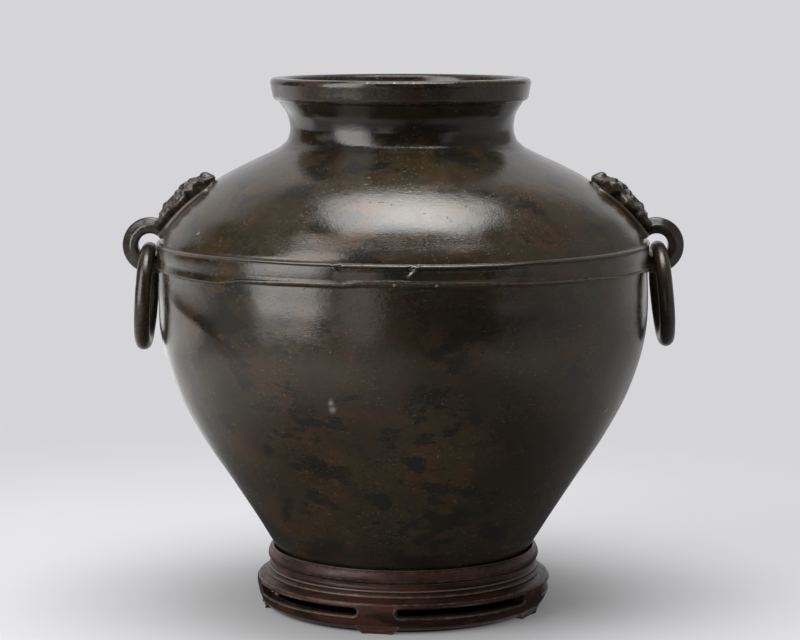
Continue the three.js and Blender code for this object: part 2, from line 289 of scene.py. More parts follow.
def newMaterial(name, values):
    material = bpy.data.materials.new(name)
    material.use_nodes = True
    tree = material.node_tree
    surface = tree.nodes["Principled BSDF"]
    surface.inputs["IOR"].default_value = values["gloss"]
    place = addNode(tree, "TexCoord").outputs["Object"]
    point = addNode(tree, "VectorMath", {0: place, "Scale": 1 / mm}, operation="SCALE").outputs[0]
    edge = addNode(tree, "Attribute", attribute_name="edge").outputs["Fac"]
    wear = useGroup(tree, edgeWear, {"Point": point, "Edge": edge, "Amount": values["wear"]})
    return material, tree, surface, point, wear


def connect(tree, surface, color, rough, height):
    tree.links.new(color, surface.inputs["Base Color"])
    tree.links.new(rough, surface.inputs["Roughness"])
    bump = addNode(tree, "Bump", {"Height": height, "Strength": 1.0, "Distance": mm})
    tree.links.new(bump.outputs[0], surface.inputs["Normal"])


def bronzeMaterial(name, values):
    material, tree, surface, point, wear = newMaterial(name, values)
    mark = addNode(tree, "Attribute", attribute_name="mark").outputs["Fac"]
    # the dark attribute is painted shade that the vase carries on its points
    dark = addNode(tree, "Attribute", attribute_name="dark").outputs["Fac"]
    grain = useGroup(tree, castGrain, {"Point": point, "Grain": values["grain"], "Specks": values["specks"]})
    patina = useGroup(tree, darkPatina, {
        "Point": point, "Brown": values["brown"], "Olive": values["olive"],
        "Flecks": values["flecks"], "Tone": asColor(values["tone"])})
    color = layerColors(tree, patina["Color"], [
        (dark, 0.8, (0.0115, 0.0092, 0.006)),
        (grain["Pits"], 0.7, (0.006, 0.005, 0.004)),
        (wear["Hollows"], 0.75, (0.009, 0.0075, 0.006)),
        (wear["Worn"], 1, values["wornColor"]),
        (grain["Specks"], 0.55, (0.17, 0.15, 0.12)),
        (mark, 1, (0.24, 0.22, 0.185)),
    ])
    rough = mathOf(tree, "ADD", patina["Roughness"], values["rougher"])
    rough = addShares(tree, rough, [(wear["Hollows"], 0.2), (grain["Specks"], 0.15)])
    connect(tree, surface, color, rough, grain["Height"])
    metal = mathOf(tree, "ADD", times(tree, wear["Worn"], 0.4), 0.1)
    tree.links.new(metal, surface.inputs["Metallic"])
    return material


def woodMaterial(name, values):
    material, tree, surface, point, wear = newMaterial(name, values)
    wood = useGroup(tree, hardwoodGrain, {"Point": point, "Redness": values["redness"]})
    color = layerColors(tree, wood["Color"], [
        (wear["Hollows"], 0.85, (0.006, 0.003, 0.0022)),
        (wear["Worn"], 1, values["wornColor"]),
    ])
    rough = addShares(tree, wood["Roughness"], [(wear["Hollows"], 0.2), (wear["Worn"], -0.12)])
    connect(tree, surface, color, rough, wood["Height"])
    return material


bronzes = {
    "vaseBronze": {
        "slot": "vase_bronze", "tone": (0.034, 0.0245, 0.0135), "brown": 0.9, "olive": 0.75, "flecks": 0.95,
        "grain": 1.0, "specks": 1.0, "wear": 0.45, "wornColor": (0.15, 0.125, 0.095), "rougher": 0.0,
        "gloss": 1.54,  # index of refraction: how strongly the surface mirrors
    },
    "handleBronze": {
        "slot": "handle_bronze", "tone": (0.022, 0.0175, 0.0115), "brown": 0.5, "olive": 0.6, "flecks": 0.5,
        "grain": 1.3, "specks": 0.4, "wear": 0.5, "wornColor": (0.1, 0.085, 0.068), "rougher": 0.05,
        "gloss": 1.54,
    },
    "maskBronze": {
        "slot": "handle_bronze", "tone": (0.026, 0.0215, 0.015), "brown": 0.5, "olive": 0.5, "flecks": 0.4,
        "grain": 0.9, "specks": 0.3, "wear": 0.55, "wornColor": (0.095, 0.083, 0.066), "rougher": 0.17,
        "gloss": 1.5,
    },
}
woods = {
    "waxedHardwood": {
        "slot": "stand_wood", "redness": 0.75, "wear": 0.8, "wornColor": (0.17, 0.122, 0.095), "gloss": 1.34,
    },
    "bareHardwood": {
        "slot": "stand_wood", "redness": 0.3, "wear": 0.2, "wornColor": (0.1, 0.06, 0.045), "gloss": 1.4,
    },
}

materials = {name: bronzeMaterial(name, values) for name, values in bronzes.items()}
materials.update({name: woodMaterial(name, values) for name, values in woods.items()})
print("materials made")


# Outlines: each is a run of (radius, height) in millimetres

def smoothLine(points, step):
    p = np.array(points, float)
    p = np.vstack([2 * p[0] - p[1], p, 2 * p[-1] - p[-2]])
    line = []
    for a, b, c, d in zip(p, p[1:], p[2:], p[3:]):
        ta = 0
        tb = ta + np.linalg.norm(b - a) ** 0.5
        tc = tb + np.linalg.norm(c - b) ** 0.5
        td = tc + np.linalg.norm(d - c) ** 0.5
        count = max(2, round(np.linalg.norm(c - b) / step))
        for t in np.linspace(tb, tc, count, endpoint=False):
            ab = a + (b - a) * (t - ta) / (tb - ta)
            bc = b + (c - b) * (t - tb) / (tc - tb)
            cd = c + (d - c) * (t - tc) / (td - tc)
            abc = ab + (bc - ab) * (t - ta) / (tc - ta)
            bcd = bc + (cd - bc) * (t - tb) / (td - tb)
            line.append(abc + (bcd - abc) * (t - tb) / (tc - tb))
    line.append(p[-2])
    return np.array(line)


def softCorners(points, radius, steps=5, closed=False):
    p = np.array(points, float)
    if closed:
        p = np.vstack([p[-1], p, p[0]])
    line = [] if closed else [p[0]]
    for before, corner, after in zip(p, p[1:], p[2:]):
        toBefore, toAfter = before - corner, after - corner
        back = min(radius, 0.45 * np.linalg.norm(toBefore), 0.45 * np.linalg.norm(toAfter))
        start = corner + toBefore / np.linalg.norm(toBefore) * back
        end = corner + toAfter / np.linalg.norm(toAfter) * back
        for t in np.linspace(0, 1, steps):
            line.append((1 - t) ** 2 * start + 2 * t * (1 - t) * corner + t * t * end)
    if not closed:
        line.append(p[-1])
    return np.array(line)


def evenLine(line, step):
    length = np.concatenate([[0], np.cumsum(np.linalg.norm(np.diff(line, axis=0), axis=1))])
    count = max(2, round(length[-1] / step))
    at = np.linspace(0, length[-1], count + 1)
    return np.column_stack([np.interp(at, length, line[:, 0]), np.interp(at, length, line[:, 1])])


def closedLine(points, radius, step):
    line = softCorners(points, radius, 4, closed=True)
    return evenLine(np.vstack([line, line[:1]]), step)[:-1]


def offsetLine(line, distance):
    along = np.gradient(line, axis=0)
    along /= np.linalg.norm(along, axis=1)[:, None]
    return line + np.column_stack([along[:, 1], -along[:, 0]]) * distance


# Meshes

# How sharply the surface turns at each point: positive on an edge, negative in a hollow

def edgeValues(mesh, reach):
    count = len(mesh.vertices)
    place = np.zeros(count * 3)
    mesh.vertices.foreach_get("co", place)
    place = place.reshape(-1, 3) / mm
    normal = np.zeros(count * 3)
    mesh.vertex_normals.foreach_get("vector", normal)
    normal = normal.reshape(-1, 3)
    ends = np.zeros(len(mesh.edges) * 2, np.int64)
    mesh.edges.foreach_get("vertices", ends)
    a, b = ends.reshape(-1, 2).T
    along = place[b] - place[a]
    long = np.maximum((along ** 2).sum(1), 1e-6)
    bendA = -2 * (along * normal[a]).sum(1) / long
    bendB = 2 * (along * normal[b]).sum(1) / long
    shares = np.bincount(a, minlength=count) + np.bincount(b, minlength=count)
    shares = np.maximum(shares, 1)
    value = (np.bincount(a, bendA, count) + np.bincount(b, bendB, count)) / shares
    value = np.clip(value * reach, -1.5, 1.5)
    nearby = (np.bincount(a, value[b], count) + np.bincount(b, value[a], count)) / shares
    return np.clip(0.5 * value + 0.5 * nearby, -1, 1)


# Stands names the CAD nodes that the piece is drawn for, and reach says how readily its edges show wear

def makePiece(name, points, faces, material, body, stands, reach, masks=None):
    mesh = bpy.data.meshes.new(name)
    mesh.from_pydata([tuple(v) for v in points * mm], [], faces)
    mesh.validate()
    for label, values in (masks or {}).items():
        attribute = mesh.attributes.new(label, "FLOAT", "POINT")
        attribute.data.foreach_set("value", values.ravel().astype(np.float32))
    shape = bmesh.new()
    shape.from_mesh(mesh)
    bmesh.ops.remove_doubles(shape, verts=shape.verts, dist=0.002 * mm)
    bmesh.ops.recalc_face_normals(shape, faces=shape.faces)
    shape.to_mesh(mesh)
    shape.free()
    mesh.shade_smooth()
    mesh.set_sharp_from_angle(angle=math.radians(60))
    edge = mesh.attributes.new("edge", "FLOAT", "POINT")
    edge.data.foreach_set("value", edgeValues(mesh, reach).astype(np.float32))
    mesh.materials.append(materials[material])
    piece = addObject(name, mesh)
    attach(piece, body)
    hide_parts(*stands)


def gridFaces(rows, columns, closeRows=False, closeColumns=False):
    faces = []
    for i in range(rows if closeRows else rows - 1):
        for j in range(columns if closeColumns else columns - 1):
            here, below, beside = i * columns, (i + 1) % rows * columns, (j + 1) % columns
            faces.append((here + j, here + beside, below + beside, below + j))
    return faces


# Angles round Z are measured from the front (-Y) towards +X

def aroundZ(radius, degrees, height):
    angle = np.radians(degrees)
    return np.stack([radius * np.sin(angle), -radius * np.cos(angle), height + 0 * angle], axis=-1)


def unevenness(points, size, seed):
    return np.array([noise.noise(Vector(p) / size + Vector((seed, 0, 0))) for p in points.reshape(-1, 3)])


# The vase

vase = {
    "columns": 384,
    # columns stand closer over the creased and the mended stretch: from, to, step in degrees
    "fineParts": [(-78, -36, 0.5), (-20, 16, 0.25)],
    "wall": 4.5,
    "insidePoints": (11, -4),  # the inner wall runs from this point of the belly to this one of the shoulder
    "uneven": 0.28,  # millimetres that the cast surface wanders
    "lean": [(280, 0), (337, -1.0), (360, -1.8), (373, -1.9)],  # (height, shift in X)
    "belly": [(84, 31.2), (90.4, 42), (103.2, 63), (121.1, 91), (142, 122.5), (160, 157.5),
              (170.2, 192.5), (172, 221), (171.6, 234), (171.45, 240.6), (171.4, 242.0), (171.4, 242.6)],
    "band": [(171.4, 242.6), (172.6, 243.1), (173.5, 243.9), (173.6, 244.7), (172.9, 245.6), (172.7, 247.0),
             (172.6, 251.0), (172.6, 256.1), (172.25, 256.8), (172.8, 257.3), (173.5, 257.8), (173.5, 258.4),
             (172.6, 259.1), (170.9, 259.6)],
    # the band's edges: height, then the shift in Z at each angle
    "lowerEdge": (245.0, [
        (-180, 0), (-70, -2.4), (-45, -2.2), (-38, 0.8), (-24, 2.0), (-13, 1.7), (-9, 3.4), (-2, 3.5),
        (0, 2.7), (18, 2.2), (28, 0.9), (48, 0.4), (58, -1.7), (75, -2), (180, 0)]),
    "upperEdge": (258.6, [
        (-180, 0), (-60, -0.4), (-34, 1.0), (-16, 0.6), (-13, 0.1), (8, -0.5), (22, -0.5), (30, 0.4),
        (180, 0)]),
    "edgeReach": 3.2,  # how far above and below an edge the surface shifts with it
    "bandFace": (246.5, 260.5),  # heights that the face lies between
    "faceCrown": (252.0, 0.013),  # the height where the face is fullest, and how fast it falls away
    "mended": ((-14.6, 0.35), (26, 2)),  # both ends of the mended stretch in degrees, and their softness
    "mendedGroove": (255.9, 0.9, 0.75),  # height, half width, depth
    "mendedDepth": 0.35,  # of the hollowed face
    "shoulder": [(170.9, 259.6), (170.6, 260.2), (168.2, 264.4), (164.2, 270), (156.4, 280), (146.6, 289.2),
                 (135.6, 297.8), (123.8, 305.4), (108, 313.4), (95, 319.4), (87, 323.4)],
    "neck": [(84.6, 325), (80.4, 329.4), (78.4, 336.4), (78.5, 340.2), (80.0, 347.4), (83.6, 353.4),
             (85.6, 356.4)],
    "lip": [(85.6, 356.4), (88.2, 357.2), (89.5, 359.4), (90.4, 364.2), (91.4, 369.2), (90.8, 371.4),
            (88.8, 372.6), (83.0, 372.6), (80.8, 371.2)],
    "throat": [(80.6, 371), (77.6, 361), (74.2, 346), (73.9, 336), (75.8, 327.6), (81, 321)],
    "foot": [(82, 41.4), (75.5, 40.4), (75.5, 36.9), (79.3, 36.9), (79.3, 30.4), (83.2, 30.4)],
    # bumps and hollows in the surface: angle, height, half length, half width, turn, depth
    "flaws": [
        (2.3, 255.4, 4.6, 1.0, 46, 1.5),
        (1.2, 257.2, 2.2, 0.7, 40, -1.2),
        (-1.9, 246.0, 1.0, 1.2, 0, 1.2),
        (7.0, 245.8, 0.9, 0.9, 0, 1.0),
        (3.0, 242.8, 12.0, 0.6, 0, 0.45),
        (-14.9, 257.6, 0.8, 1.8, 24, 0.7),
        (-13.4, 258.4, 1.2, 0.6, 0, -0.6),
        (-38.0, 168.0, 22.0, 12.0, 20, -0.5),
        (34.0, 205.0, 24.0, 13.0, -15, -0.6),
        (-128.0, 180.0, 20.0, 14.0, 35, -0.9),
        (143.0, 215.0, 18.0, 12.0, -40, -0.8),
    ],
    # a crease in the left of the belly, over which the surface falls back: points of its line (angle, height)
    "crease": [(-74, 232), (-63, 220.9), (-51.8, 210.9), (-45.3, 198.8), (-42.1, 184.9), (-41, 172)],
    "creaseDeep": 2.0,
    "creaseWide": 24.0,
    "creaseMiddle": (-54, 203),  # angle and height, about which it fades out over these half lengths
    "creaseHalf": (17, 30),
    "creaseTop": 240,
    # painted shade at these heights: under the lip, on the lip's face, and low down beside the stand: height,
    # half height, sharpness, strength
    "shadedBands": [(345, 15, 4, 1.0), (366, 8, 4, 0.5), (31, 30, 2, 0.7)],
    # patches of painted shade and painted dim reflection: angle, height, half length, half width, turn,
    # strength
    "shadedPatches": [(21.0, 222.0, 78.0, 17.0, -1, 1.0), (38.0, 110.0, 46.0, 60.0, 20, 0.6),
               (-30.0, 214.0, 20.0, 14.0, 0, 0.4), (150.0, 200.0, 60.0, 30.0, 10, 0.6),
               (-110.0, 110.0, 40.0, 30.0, 0, 0.5)],
    # light scuffs: angle, height, half length, half width, turn
    "scuffs": [
        (-16.7, 167.9, 1.9, 1.6, 80), (-16.5, 163.3, 2.1, 1.8, 20), (-80.0, 261.5, 2.4, 1.2, 40),
        (-57.3, 271.9, 1.6, 0.8, 10), (7.0, 245.8, 0.9, 0.7, 0), (-1.9, 246.2, 0.8, 1.0, 0),
        (1.6, 253.6, 2.2, 0.5, 56), (62.0, 150.0, 2.0, 0.8, 60), (-150.0, 230.0, 3.0, 1.0, 30),
        (120.0, 140.0, 2.6, 1.0, 75), (171.0, 284.0, 2.0, 1.0, 15), (-14.2, 371.6, 0.6, 0.4, 0),
        (-9.4, 371.9, 0.5, 0.4, 0), (-2.6, 371.7, 0.9, 0.35, 0), (5.4, 371.5, 0.6, 0.5, 0),
    ],
}


widestRadius = max(r for r, z in vase["belly"])


def nearTo(height, middle, half, power=2):
    return np.exp(-((height - middle) / half) ** power)


def spotShape(degrees, height, radius, spot):
    angle, middle, halfLength, halfWidth, turn = spot[:5]
    across = np.radians((degrees - angle + 180) % 360 - 180) * radius
    up = height - middle
    c, s = math.cos(math.radians(turn)), math.sin(math.radians(turn))
    along = (across * c + up * s) / halfLength
    side = (up * c - across * s) / halfWidth
    return np.exp(-(along ** 2 + side ** 2) ** 1.3)


# How far each point lies past the crease's line, negative before it

def creaseShape(degrees, height, radius, line):
    best = np.full(radius.shape, 1e3)
    signed = np.zeros(radius.shape)
    for (a0, z0), (a1, z1) in zip(line, line[1:]):
        x, y = np.radians(degrees - a0) * radius, height - z0
        dx, dy = np.radians(a1 - a0) * widestRadius, z1 - z0
        share = np.clip((x * dx + y * dy) / (dx * dx + dy * dy), 0, 1)
        away = np.hypot(x - share * dx, y - share * dy)
        side = np.sign(x * dy - y * dx)
        signed = np.where(away < best, -away * side, signed)
        best = np.minimum(best, away)
    return signed


def vaseColumns(values):
    degrees = np.arange(values["columns"]) * 360 / values["columns"] - 180
    for start, end, step in values["fineParts"]:
        coarse = degrees[(degrees < start) | (degrees > end)]
        degrees = np.concatenate([coarse, np.arange(start, end, step)])
    return np.sort(degrees)


# Over its mended stretch the band's face is hollowed, with a groove under the upper edge,
# and elsewhere it is crowned

def bandHollow(degrees, height, values):
    (start, startSoft), (end, endSoft) = values["mended"]
    mended = 1 / (1 + np.exp(-(degrees - start) / startSoft)) / (1 + np.exp((degrees - end) / endSoft))
    low, high = values["bandFace"]
    face = np.clip((height - low) / 2, 0, 1) * np.clip((high - height) / 1.5, 0, 1)
    middle, half, depth = values["mendedGroove"]
    fullest, fall = values["faceCrown"]
    hollow = depth * nearTo(height, middle, half) * mended + values["mendedDepth"] * face * mended
    return hollow + fall * (height - fullest) ** 2 * face * (1 - mended)


def creaseFall(degrees, height, radius, values):
    past = creaseShape(degrees, height, radius, smoothLine(values["crease"], 6))
    share = np.clip(past, 0, None) / values["creaseWide"]
    (angle, middle), (halfAngle, half) = values["creaseMiddle"], values["creaseHalf"]
    nearby = nearTo(degrees, angle, halfAngle, 4) * nearTo(height, middle, half, 4)
    return share * np.exp(1 - share) * nearby * (height < values["creaseTop"])


def makeVase(values):
    belly = smoothLine(values["belly"], 2.2)
    band = evenLine(softCorners(values["band"], 0.45), 0.32)
    shoulder = smoothLine(values["shoulder"], 2)
    neck = smoothLine(values["neck"], 1)
    lip = evenLine(softCorners(values["lip"], 1.7), 0.4)
    throat = smoothLine(values["throat"], 2)
    first, last = values["insidePoints"]
    inside = offsetLine(np.vstack([belly[first:], shoulder[:last]]), -values["wall"])[::-2]
    foot = softCorners(values["foot"], 0.5)
    outer = np.vstack([belly, band[1:], shoulder[1:], neck, lip[1:]])
    outline = np.vstack([outer, throat[1:], inside, foot])
    degrees = vaseColumns(values)
    radius = outline[:, 0:1] + 0 * degrees
    height = outline[:, 1:2] + 0 * degrees
    isOuter = (np.arange(len(outline)) < len(outer))[:, None]
    bare = aroundZ(radius, degrees, height)
    wander = unevenness(bare, 46, 1) + 0.35 * unevenness(bare, 17, 2)
    push = values["uneven"] * (wander.reshape(radius.shape) - 1) - bandHollow(degrees, height, values)
    shift = 0
    for middle, line in (values["lowerEdge"], values["upperEdge"]):
        shift = shift + nearTo(height, middle, values["edgeReach"]) * np.interp(degrees, *np.array(line).T)
    height = height + np.where(isOuter, shift, 0)
    fall = creaseFall(degrees, height, radius, values)
    push = push - values["creaseDeep"] * fall
    for flaw in values["flaws"]:
        push = push + flaw[5] * spotShape(degrees, height, radius, flaw)
    radius = radius + np.where(isOuter, push, 0)
    place = aroundZ(radius, degrees, height)
    place[..., 0] += np.interp(height, *np.array(values["lean"]).T)
    mark = np.zeros(radius.shape)
    for scuff in values["scuffs"]:
        mark = np.maximum(mark, spotShape(degrees, height, radius, scuff))
    # dark is painted shade: along the crease where the surface falls back, in the bands and in the patches
    dark = 0.8 * fall
    for middle, half, power, strength in values["shadedBands"]:
        dark = np.maximum(dark, strength * nearTo(height, middle, half, power))
    for patch in values["shadedPatches"]:
        dark = np.maximum(dark, patch[5] * spotShape(degrees, height, radius, patch))
    makePiece("vaseBody", place.reshape(-1, 3), gridFaces(*radius.shape, True, True), "vaseBronze", "vase",
              ["vase_body", "vase_shoulder", "vase_neck"], 1.0,
              masks={"mark": mark * isOuter, "dark": dark * isOuter})


makeVase(vase)
print("vase made")


def outerRadius(height):
    line = np.array(vase["belly"] + vase["band"][1:-1] + vase["shoulder"])
    return np.interp(height, line[:, 1], line[:, 0])


# Loops and rings of the handles

handles = {
    "loopMiddle": (177.5, 255.2),
    "loopSection": [(9.8, -6.5), (13.8, -6.5), (19.7, -1.8), (19.7, 1.8), (13.8, 6.5), (9.8, 6.5),
                    (8.6, 5.3), (8.6, -5.3)],  # (distance from the eye's middle, Y)
    "loopReach": 152.0,  # degrees either way from the outermost point
    "loopSteps": 110,
    "loopUneven": 0.12,
    "loopSeeds": {"right": 5, "left": 9},
    "sunk": 2.0,  # how deep the hidden ends lie under the vase's surface
    "pivot": (179.1, 253.0),
    "rings": {  # radius, wire radius, lean in degrees, how it hangs off the pivot in X and Z, seed
        "right": (32.0, 5.4, 5.3, (0, 0), 3),
        "left": (32.7, 5.5, 3.8, (-0.6, -1.0), 7),
    },
    "ringThin": 0.06,  # how much thinner than its wire a ring is, all round and where it hangs in the loop
    "ringWorn": 0.16,
    "ringUneven": 0.14,
}


def placeOnSide(points, side):
    return points if side == "right" else points * np.array([-1, -1, 1])


# What would stand inside the vase's wall is drawn out to just under its outer surface

def keepUnderSurface(points, depth):
    least = outerRadius(points[:, 2]) - depth
    radius = np.hypot(points[:, 0], points[:, 1])
    grow = np.where(radius < least, least / radius, 1)
    return points * np.column_stack([grow, grow, np.ones(len(grow))])


def makeLoop(values, side):
    section = closedLine(values["loopSection"], 0.9, 0.7)
    reach = np.radians(np.linspace(-values["loopReach"], values["loopReach"], values["loopSteps"]))
    x = values["loopMiddle"][0] + np.outer(np.cos(reach), section[:, 0])
    z = values["loopMiddle"][1] + np.outer(np.sin(reach), section[:, 0])
    y = np.broadcast_to(section[:, 1], x.shape)
    points = np.stack([x, y, z], axis=-1).reshape(-1, 3)
    lumps = values["loopUneven"] * unevenness(points, 6, values["loopSeeds"][side])
    points = points + lumps[:, None] * np.array([1, 1.4, 1])
    points = keepUnderSurface(points, values["sunk"])
    faces = gridFaces(len(reach), len(section), closeColumns=True)
    faces.append(tuple(range(len(section))))
    faces.append(tuple(range((len(reach) - 1) * len(section), len(reach) * len(section)))[::-1])
    makePiece("loop" + side.capitalize(), placeOnSide(points, side), faces, "handleBronze", "vase",
              ["loop_" + side], 1.2)


def makeRing(values, side):
    ringRadius, wire, lean, hang, seed = values["rings"][side]
    turn = np.radians(np.arange(0, 360, 2.0))[:, None]
    tube = np.radians(np.arange(0, 360, 9.0))[None, :]
    worn = values["ringThin"] + values["ringWorn"] * nearTo(turn, math.pi / 2, 0.25)
    points = np.stack([wire * np.sin(tube) + 0 * turn,
                       (ringRadius + wire * np.cos(tube)) * np.cos(turn),
                       (ringRadius + wire * np.cos(tube)) * np.sin(turn) - ringRadius], axis=-1)
    out = np.cos(tube)
    outward = np.stack([np.sin(tube) + 0 * turn, out * np.cos(turn), out * np.sin(turn)], axis=-1)
    lumps = unevenness(points, 11, seed).reshape(turn.size, tube.size) * values["ringUneven"]
    points = (points - outward * (worn + lumps)[..., None]).reshape(-1, 3)
    c, s = math.cos(math.radians(lean)), math.sin(math.radians(lean))
    x = points[:, 0] * c - points[:, 2] * s + values["pivot"][0] + hang[0]
    z = points[:, 0] * s + points[:, 2] * c + values["pivot"][1] + hang[1]
    points = np.stack([x, points[:, 1], z], axis=-1)
    faces = gridFaces(turn.size, tube.size, True, True)
    makePiece("ring" + side.capitalize(), placeOnSide(points, side), faces, "handleBronze",
              "ring_" + side, ["ring_" + side], 0)


for side in ("right", "left"):
    makeLoop(handles, side)
    makeRing(handles, side)
print("loops and rings made")


# The beast masks: a relief drawn in the mask's own plane, U across it and V up the shoulder

mask = {
    "place": (156.5, 280.0),  # where the plane touches the shoulder
    "slope": 44.0,  # degrees that the plane's normal rises
    "across": 217.6,  # the shoulder's radius of curvature across the mask and along it
    "along": 98.0,
    "middle": 4.0,  # V of the point that the rows run out from
    "columns": 300,
    "rows": 60,
    "softened": 7,  # times that the worn relief is smoothed
    "ground": 7.4,  # height between the rolls and knobs
    "swell": (1.4, 24),  # how much higher the ground is in the middle, and the half width of that
    "jawFall": (0.9, 8, 12),  # how far it falls, from which V down, over what length
    "crownFall": (2.2, 24, 7),
    "strands": (0.12, 3.1, 14),  # depth and closeness of the fine lines, and how far out they start
    "grain": 0.14,
    "seeds": {"right": 12, "left": 17},
    "rounding": 1.5,  # how far the rim of the relief is rounded down
    # the side wall down from the rim: (share of the outline, height from the rim)
    "wall": [(1.0, -0.9), (0.995, -1.7), (0.975, -2.7), (0.95, -3.7), (0.925, -4.6)],
    "back": 1.0,  # height of the hidden back
    "plateSection": [(-13, -1.8), (0.4, -1.8), (0.2, 1.0), (-0.2, 2.0), (-0.9, 2.6), (-1.7, 2.4), (-2.4, 1.8),
                     (-4, 1.5), (-13, 1.5)],  # (distance out from the plate's edge, height)
    "outline": [(0, -20.5), (8, -20), (13.5, -16.5), (18.5, -12.8), (20.8, -8), (19.2, -3), (23.6, 1.5),
                (25.2, 6.5), (21.2, 10.8), (19.4, 14), (21.6, 18.6), (20, 23.6), (14, 26.8), (8.5, 27.4),
                (4.8, 32.6), (0, 34.0)],
    "plateOutline": [(0, -22.6), (11, -22.4), (22, -20.4), (28.4, -14.5), (30.4, -4), (30.6, 8), (30.0, 18),
                     (27.6, 25.6), (21, 29.6), (10, 31), (0, 31.4)],
    # rolls: points along the middle, half width at both ends, height at both ends
    "rolls": {
        "noseBridge": ([(0, 9), (0, -2)], (2.4, 3.4), (11.0, 10.9)),
        "upperLip": ([(0, -9.6), (5, -10.6), (10, -9.8), (15, -6.6), (17.4, -2.6)], (2.8, 2.0), (10.0, 8.9)),
        "jaw": ([(0, -17.4), (6, -17.2), (11, -14.6), (14.6, -11.2)], (2.7, 1.8), (8.9, 8.0)),
        "fang": ([(6.6, -11.5), (7.4, -16.4)], (1.5, 0.7), (10.4, 8.9)),
        "brow": ([(1.8, 7.6), (6, 9.9), (12, 9.4), (17.6, 8.2), (21.2, 5.2), (22.2, 2.4)],
                 (2.6, 1.5), (12.0, 9.0)),
        "browCurl": ([(14.5, 10.8), (18, 12.4), (18.6, 15.4), (15.8, 16.4), (14.6, 14.2)],
                     (1.6, 1.3), (10.6, 10.2)),
        "horn": ([(3.0, 14), (6.8, 17.2), (11.6, 17.4), (17.0, 17.0), (19.4, 20.6), (16.8, 24.0),
                  (12.8, 23.4), (12.4, 20.4)], (2.3, 1.9), (12.7, 10.6)),
        "topCurl": ([(1.8, 22.6), (5.8, 21.6), (8.8, 23.6), (6.8, 26.2)], (1.7, 1.5), (12.0, 10.6)),
        "whisker": ([(12.4, -3.4), (16.4, -6.2), (19.0, -9.2), (16.0, -11.6), (14.2, -9.4)],
                    (1.7, 1.3), (9.8, 9.0)),
        "cheekLine": ([(6.2, -2.0), (9.8, -4.4), (13.8, -2.0), (17.8, 1.6)], (2.0, 1.5), (9.8, 8.8)),
    },
    # knobs: middle, radii, height
    "knobs": {
        "noseTip": ((0, -4.8), (3.9, 3.6), 11.7),
        "nostril": ((4.4, -6.0), (2.8, 2.5), 10.9),
        "eye": ((8.8, 3.6), (3.9, 3.5), 11.5),
        "jewel": ((0, 13.2), (3.2, 4.4), 12.9),
        "topKnob": ((0, 29.4), (4.2, 4.0), 11.6),
        "crownBead": ((0, 20.2), (2.2, 2.6), 12.7),
        "hornEye": ((15.8, 20.6), (1.5, 1.5), 10.6),
    },
    # pits: middle, radii, depth
    "pits": {
        "nostrilHole": ((3.4, -8.2), (1.1, 0.9), 2.4),
        "pupil": ((8.6, 3.2), (1.0, 1.0), 1.2),
        "mouth": ((0, -13.4), (9.5, 1.5), 3.2),
        "underBrow": ((9.5, 7.4), (6.0, 0.8), 1.3),
        "eyeCorner": ((13.8, 2.2), (1.8, 1.0), 1.4),
    },
}


def rollHeight(u, v, line, halfWidths, heights):
    points = smoothLine(line, 1.0)
    share = np.linspace(0, 1, len(points))
    best = np.full(u.shape, -1.0)
    for (a, b), (s, t) in zip(zip(points, points[1:]), zip(share, share[1:])):
        along = b - a
        w = np.clip(((u - a[0]) * along[0] + (v - a[1]) * along[1]) / (along @ along), 0, 1)
        away = np.hypot(u - a[0] - w * along[0], v - a[1] - w * along[1])
        at = s + (t - s) * w
        half = halfWidths[0] + (halfWidths[1] - halfWidths[0]) * at
        top = heights[0] + (heights[1] - heights[0]) * at
        domed = top - half * (1 - np.sqrt(np.clip(1 - (away / half) ** 2, 0, 1)))
        best = np.maximum(best, np.where(away < half, domed, -1))
    return best


def ovalDistance(u, v, middle, radii):
    return ((u - middle[0]) / radii[0]) ** 2 + ((v - middle[1]) / radii[1]) ** 2


def reliefHeight(u, v, values):
    u = np.abs(u)
    swell, half = values["swell"]
    jaw, jawFrom, jawLong = values["jawFall"]
    crown, crownFrom, crownLong = values["crownFall"]
    height = values["ground"] + swell * np.clip(1 - (u / half) ** 2, 0, 1)
    height = height - jaw * np.clip((-v - jawFrom) / jawLong, 0, 1)
    height = height - crown * np.clip((v - crownFrom) / crownLong, 0, 1)
    for line, halfWidths, heights in values["rolls"].values():
        height = np.maximum(height, rollHeight(u, v, line, halfWidths, heights))
    for middle, radii, top in values["knobs"].values():
        away = ovalDistance(u, v, middle, radii)
        knob = top - min(radii) * (1 - np.sqrt(np.clip(1 - away, 0, 1)))
        height = np.where(away < 1, np.maximum(height, knob), height)
    for middle, radii, depth in values["pits"].values():
        height = height - depth * np.exp(-ovalDistance(u, v, middle, radii) ** 1.2)
    depth, close, start = values["strands"]
    up = v - values["middle"]
    strands = np.sin(u * close + 0.12 * up ** 2) * np.clip((np.hypot(u, up) - start) / 8, 0, 1)
    return height + depth * strands


def maskPoint(u, v, height, side, values):
    slope = math.radians(values["slope"])
    drop = u ** 2 / (2 * values["across"]) + v ** 2 / (2 * values["along"])
    out = height - drop
    x = values["place"][0] - v * math.sin(slope) + out * math.cos(slope)
    z = values["place"][1] + v * math.cos(slope) + out * math.sin(slope)
    return placeOnSide(np.stack([x, u, z], axis=-1).reshape(-1, 3), side)


def maskOutline(values, points):
    half = np.array(points, float)
    whole = np.vstack([half, (half * (-1, 1))[-2:0:-1]])
    middle = np.array([0, values["middle"]])
    line = smoothLine(np.vstack([whole[-2:], whole, whole[:2]]), 0.5) - middle
    turn = np.unwrap(np.arctan2(line[:, 1], line[:, 0]))
    start = math.atan2(-1, 0)
    turns = start + np.arange(values["columns"]) / values["columns"] * 2 * math.pi
    return turns, np.interp(turns, turn, np.hypot(*line.T))


# The relief's rows run out from its middle to the outline, over the rim and round to the middle of the back

